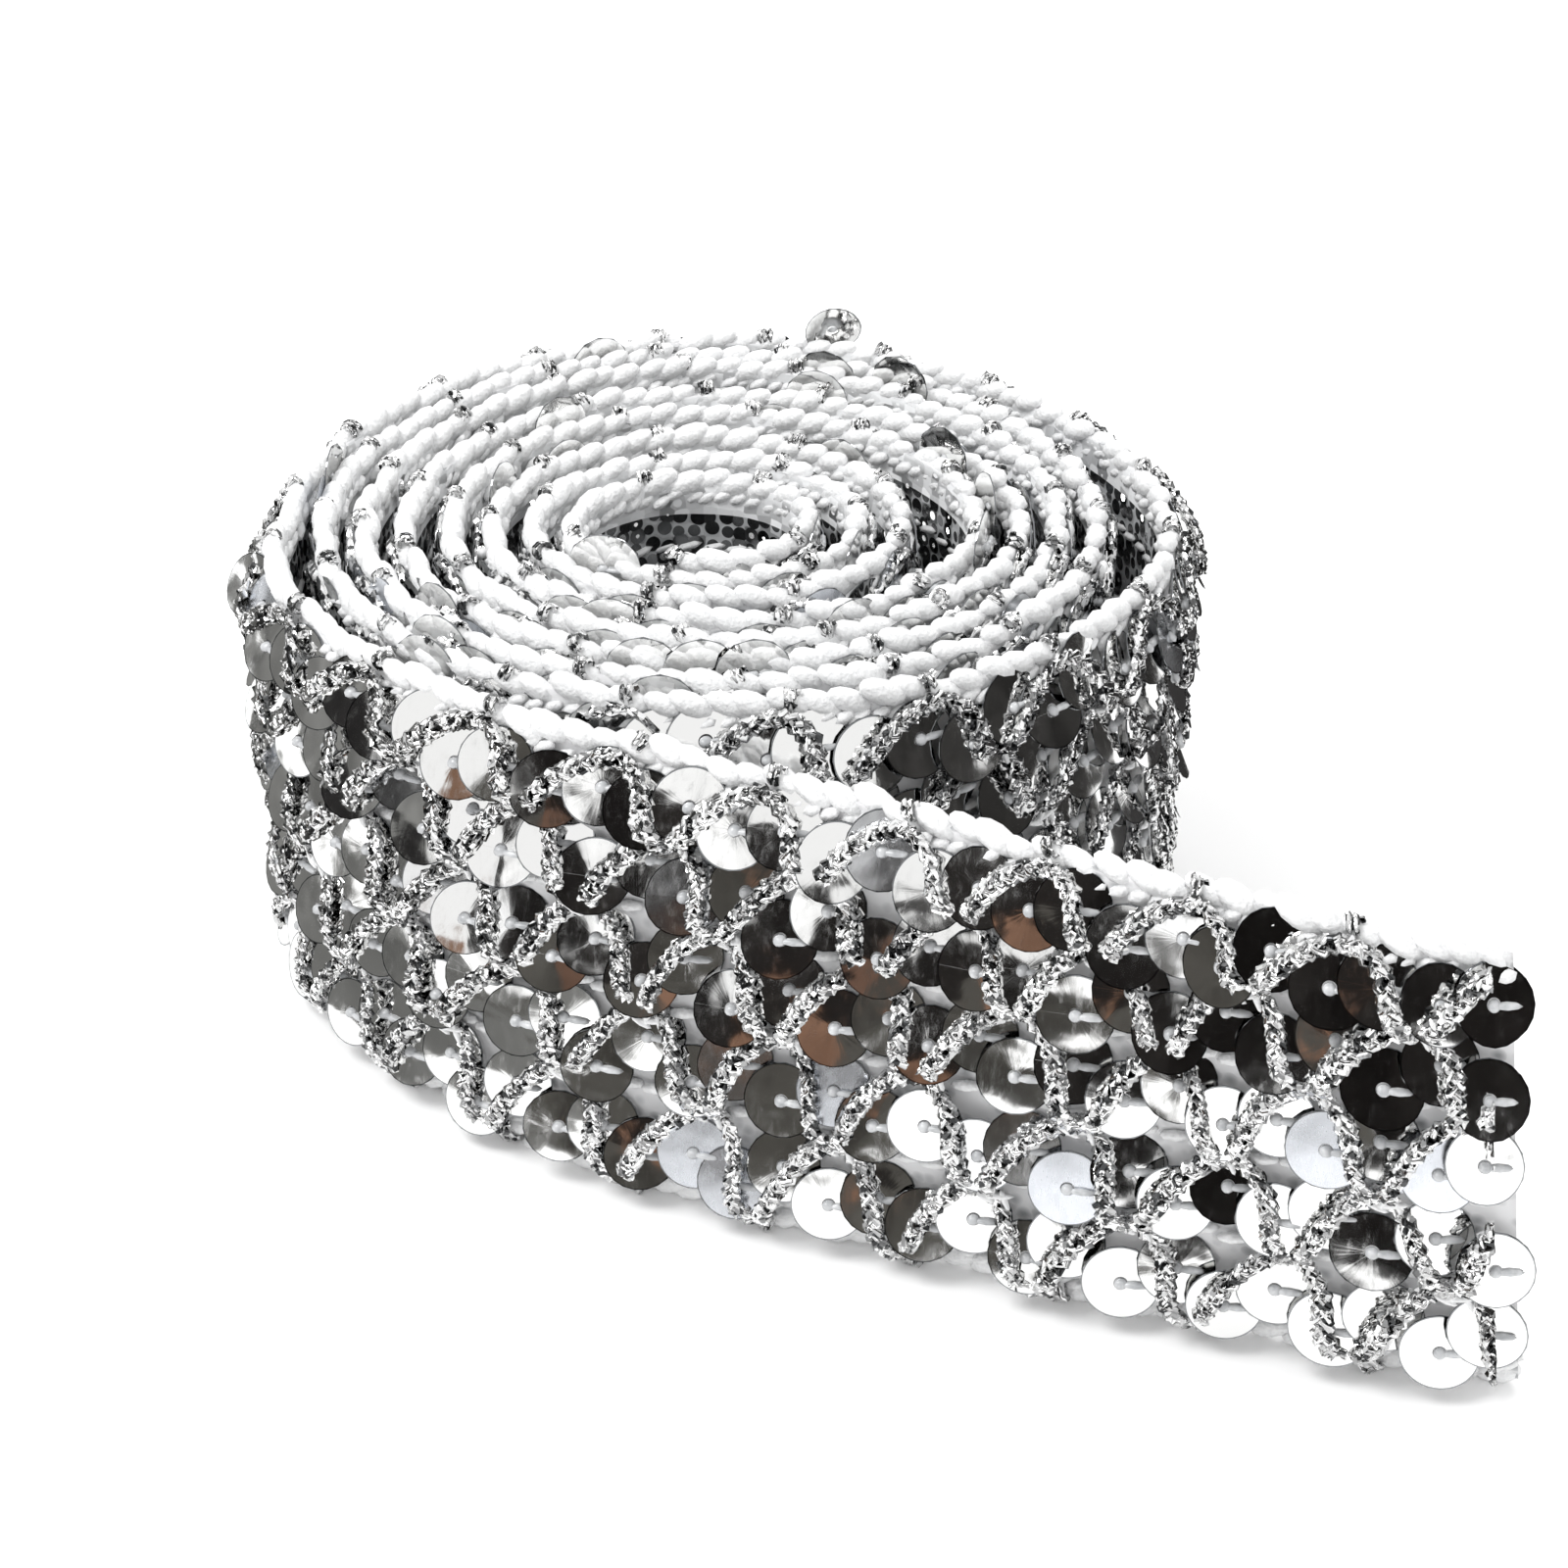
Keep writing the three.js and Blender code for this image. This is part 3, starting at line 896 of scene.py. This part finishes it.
def knot_line(across, off, phase):
    """The yarn's route in a knot, a few turns about the way along the strip."""
    part = np.linspace(0, 1, KNOT_POINTS)
    angle = 2 * math.pi * KNOT_TURNS * part + phase
    x = KNOT_LENGTH * (part - 0.5)
    y = across + KNOT_RADIUS * np.cos(angle)
    return np.stack([x, y, off + KNOT_RADIUS * np.sin(angle)], axis=1)


knot_rows = []
top_level = len(LATTICE_LEVELS) - 1
for place, phase, level in ((LOWER_KNOT, 0.0, 0), (UPPER_KNOT, math.pi, top_level)):
    knots = tubes("edge_knots", [knot_line(*place, phase)], KNOT_STRAND)
    copies = repeated(knots, repeats, LATTICE_PITCH)
    middles = copies.mean(axis=1, keepdims=True)
    turn = chance.normal(0, KNOT_TURN_SPREAD, (repeats, 1))
    x, y = (copies - middles)[..., 0], (copies - middles)[..., 1]
    copies[..., 0] = middles[..., 0] + x * np.cos(turn) - y * np.sin(turn)
    copies[..., 1] = middles[..., 1] + x * np.sin(turn) + y * np.cos(turn)
    copies[..., 0] += cell_start(level) + chance.normal(0, KNOT_STRAY, (repeats, 1))
    copies[..., 2] *= 1 + chance.normal(0, KNOT_SPREAD, (repeats, 1))
    set_coordinates(knots, copies.reshape(-1, 3))
    cut_at_end(knots)
    knot_rows.append(knots)
edge_knots = joined("edge_knots", knot_rows)

# The yarn shows on the back as a short stitch behind every crossing but those at the edges
BACK_STITCH_HALF_LENGTH = 1.1 * MM
BACK_STITCH_RADIUS = 0.3 * MM
BACK_STITCH_OFF = -0.8 * MM
BACK_STITCH_TURN = 60
BACK_STITCH_STRAY = 0.4 * MM
back_rows = []
for level in range(1, top_level):
    back_stitch = stitch(
        "back_stitch", BACK_STITCH_HALF_LENGTH, BACK_STITCH_RADIUS,
        (0, LATTICE_LEVELS[level], BACK_STITCH_OFF), BACK_STITCH_TURN,
    )
    copies = repeated(back_stitch, repeats, LATTICE_PITCH)
    copies[..., 0] += cell_start(level)
    copies += chance.normal(0, BACK_STITCH_STRAY, (repeats, 1, 3)) * (1, 1, 0)
    set_coordinates(back_stitch, copies.reshape(-1, 3))
    back_rows.append(back_stitch)
back_stitches = joined("back_stitches", back_rows)
for piece in (packed_lattice, shown_lattice, edge_knots, back_stitches):
    only(piece)
    bpy.ops.object.shade_smooth()
    wind(piece)
    made_of(piece, lurex)
    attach(piece, "root")

# Holding stitches
# Lines of white chain stitch run along the trim between the rows of sequins, and small tufts of
# the same yarn tie the lattice down where its legs cross. The chain shows on the back as well.
CHAIN_PER_REPEAT = 5
CHAIN_HALF_LENGTH = 1.15 * MM
CHAIN_RADIUS = 0.42 * MM
CHAIN_OFF = 0.6 * MM
CHAIN_TURN = 12
CHAIN_STRAY = 0.1 * MM
BACK_CHAIN_RADIUS = 0.34 * MM
BACK_CHAIN_OFF = -0.5 * MM
BACK_CHAIN_TURN = -14
BACK_CHAIN_STRAY = 0.08 * MM

# A tuft's stitches: where each is from the crossing, its turn in degrees and its half length in
# millimetres
TUFT_STITCHES = [
    (-0.45 * MM, 0.25 * MM, 75, 0.95),
    (0.5 * MM, -0.2 * MM, 110, 0.9),
    (0.0 * MM, 0.0 * MM, 15, 1.2),
    (-0.9 * MM, -0.35 * MM, 160, 0.8),
]
TUFT_RADIUS = 0.24 * MM
TUFT_OFF = {"shown": 1.85 * MM, "packed": 1.3 * MM}
TUFT_COUNT = {"shown": 4, "packed": 2}
TUFT_STRAY = 0.3 * MM
stretches = (("packed", 0, packed_repeats), ("shown", shown_start, shown_repeats))
holding_rows = []
for level in range(1, top_level):
    across = LATTICE_LEVELS[level]
    for stretch, start, count in stretches:
        chain = stitch(
            "chain", CHAIN_HALF_LENGTH, CHAIN_RADIUS, (start, across, CHAIN_OFF), CHAIN_TURN,
            STITCH_FACES[stretch],
        )
        links = count * CHAIN_PER_REPEAT
        copies = repeated(chain, links, LATTICE_PITCH / CHAIN_PER_REPEAT)
        copies += chance.normal(0, CHAIN_STRAY, (links, 1, 3))
        set_coordinates(chain, copies.reshape(-1, 3))
        holding_rows.append(chain)
        tuft = joined("tuft", [
            stitch("tuft", half * MM, TUFT_RADIUS, (x, across + y, TUFT_OFF[stretch]), turn)
            for x, y, turn, half in TUFT_STITCHES[: TUFT_COUNT[stretch]]
        ])
        copies = repeated(tuft, count, LATTICE_PITCH)
        copies[..., 0] += start + cell_start(level)
        copies += chance.normal(0, TUFT_STRAY, (count, 1, 3)) * (1, 1, 0.3)
        set_coordinates(tuft, copies.reshape(-1, 3))
        holding_rows.append(tuft)
    back_chain = stitch(
        "back_chain", CHAIN_HALF_LENGTH, BACK_CHAIN_RADIUS, (0, across, BACK_CHAIN_OFF),
        BACK_CHAIN_TURN, STITCH_FACES["packed"],
    )
    links = repeats * CHAIN_PER_REPEAT
    copies = repeated(back_chain, links, STRIP_LENGTH / links)
    copies += chance.normal(0, BACK_CHAIN_STRAY, (links, 1, 3))
    set_coordinates(back_chain, copies.reshape(-1, 3))
    holding_rows.append(back_chain)
holding_stitches = joined("holding_stitches", holding_rows)
bpy.ops.object.shade_smooth()
wind(holding_stitches)
made_of(holding_stitches, edge_yarn)
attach(holding_stitches, "root")

# Studio
# A pale floor, an even white surround and two soft lamps. Silver in an all-white room has no
# shape, so upright boards stand round the trim's front and sides, and cards lie on the floor about
# it. Only the mirrors see them. They are no lamps, but glow in their tones: painted reflections.
FLOOR_SIZE = 4
bpy.ops.mesh.primitive_plane_add(size=FLOOR_SIZE, location=(0, 0, 0))
floor = new_piece("floor")
paper, paper_surface = new_material("white paper")
set_inputs(paper, paper_surface, {
    "Base Color": linear("#fefefe"), "Roughness": 0.95, "Specular IOR Level": 0,
})
floor.data.materials.append(paper)

world = bpy.data.worlds.new("surround")
world.use_nodes = True
world.node_tree.nodes["Background"].inputs["Color"].default_value = linear("#ffffff")
world.node_tree.nodes["Background"].inputs["Strength"].default_value = 1.0
bpy.context.scene.world = world
bpy.context.scene.view_settings.view_transform = "Standard"

# Each board's azimuth, to the right from straight in front, and its width in degrees, its lower and
# upper edges in degrees above the middle of the strip, how much further off than the rest it
# stands, in metres, and its tone
BOARD_DISTANCE = 0.6
BOARD_HEIGHT_FROM = 18 * MM
BOARDS = [
    ("charcoal_board", -27, 34, -4, 8, 0.0, "#4e4c48"),
    ("black_board", 12, 44, -4, 18, 0.0, "#1b1918"),
    ("dark_board", -28, 40, 8, 22, 0.0, "#22201f"),
    ("left_black_board", -68, 18, 5, 13, -0.01, "#2a2929"),
    ("grey_board", -95, 70, -6, 24, 0.01, "#7c7c7a"),
    ("tan_board", -19, 6, 5, 10, -0.01, "#8e6d5a"),
    ("brown_board", -31, 4, 2, 8, -0.01, "#785d4f"),
    ("left_tan_board", -52, 6, 2, 8, -0.01, "#8c6c58"),
    ("near_white_board", -43, 5, 8, 17, -0.02, "#f4f4f4"),
    ("middle_white_board", -26, 6, 14, 20, -0.02, "#ededed"),
    ("right_board", 95, 110, -4, 30, 0.0, "#353433"),
]

# Each card's middle, width and depth, its turn in degrees, and its tone
CARD_LIFT = 0.5 * MM
FLOOR_CARDS = [
    ("front_card", (-157 * MM, -329 * MM), (170 * MM, 470 * MM), -27, "#4e4c48"),
    ("left_card", (-170 * MM, 20 * MM), (230 * MM, 300 * MM), 0, "#757573"),
    ("right_card", (130 * MM, 60 * MM), (170 * MM, 200 * MM), 0, "#393838"),
]
CLOUDS_PER_METRE = 9


def only_for_mirrors(piece, hex_colour):
    """Gives a plane a cloudy glow in its tone, painted light for the mirrors, and shows it to glossy rays
    alone.
    """
    material, surface = new_material(piece.name)
    place = add_node(material, "ShaderNodeTexCoord").outputs["Object"]
    cloudy = add_node(
        material, "ShaderNodeTexNoise", {"Vector": place, "Scale": CLOUDS_PER_METRE, "Detail": 1},
    ).outputs["Fac"]
    light = add_node(
        material, "ShaderNodeMapRange", {"Value": cloudy, 1: 0.3, 2: 0.7, 3: 0.6, 4: 1.5},
    ).outputs[0]
    set_inputs(material, surface, {
        "Base Color": (0, 0, 0, 1), "Specular IOR Level": 0, "Emission Color": linear(hex_colour),
        "Emission Strength": light,
    })
    piece.data.materials.append(material)
    piece.visible_camera = False
    piece.visible_diffuse = False
    piece.visible_shadow = False


for name, azimuth, wide, low, high, further, tone in BOARDS:
    distance = BOARD_DISTANCE + further
    low_z = BOARD_HEIGHT_FROM + distance * math.tan(math.radians(low))
    high_z = BOARD_HEIGHT_FROM + distance * math.tan(math.radians(high))
    turn = math.radians(azimuth)
    place = (distance * math.sin(turn), -distance * math.cos(turn), (low_z + high_z) / 2)
    bpy.ops.mesh.primitive_plane_add(size=1, location=place, rotation=(math.radians(90), 0, turn))
    board_size = (2 * distance * math.tan(math.radians(wide / 2)), high_z - low_z, 1)
    only_for_mirrors(new_piece(name, scale=board_size), tone)
for name, (x, y), (wide, deep), turn, tone in FLOOR_CARDS:
    bpy.ops.mesh.primitive_plane_add(
        size=1, location=(x, y, CARD_LIFT), rotation=(0, 0, math.radians(turn)),
    )
    only_for_mirrors(new_piece(name, scale=(wide, deep, 1)), tone)


def lamp(name, place, size, power):
    """A soft square lamp that faces the trim."""
    light = bpy.data.lights.new(name, "AREA")
    light.energy = power
    light.size = size
    piece = bpy.data.objects.new(name, light)
    piece.location = place
    x, y, z = place
    piece.rotation_euler = (math.atan2(math.hypot(x, y), z), 0, math.atan2(x, -y))
    bpy.context.collection.objects.link(piece)


lamp("key_lamp", (-0.45, -0.15, 0.75), 0.35, 4)
lamp("back_lamp", (0.35, 0.55, 0.6), 0.25, 2)

# Camera
# It looks down at the roll's front from the photograph's angle and distance. The photograph's
# frame is a little off the lens's middle, which the shift takes up.
FRAME_PIXELS = 1600
SHIFT_PIXELS = (38, -9)
LOOKS_DOWN = 32.17
CAMERA_FROM_AXIS = np.array([1.8, -171.5]) * MM
CAMERA_HEIGHT = 120 * MM
camera_data = bpy.data.cameras.new("camera")
camera_data.lens = 58.8
camera_data.sensor_width = 36
camera_data.shift_x = SHIFT_PIXELS[0] / FRAME_PIXELS
camera_data.shift_y = SHIFT_PIXELS[1] / FRAME_PIXELS
camera_data.clip_start = 0.01
camera = bpy.data.objects.new("camera", camera_data)
camera.location = (*(ROLL_AXIS + CAMERA_FROM_AXIS), CAMERA_HEIGHT)
camera.rotation_euler = (math.radians(90 - LOOKS_DOWN), 0, 0)
bpy.context.collection.objects.link(camera)
bpy.context.scene.camera = camera
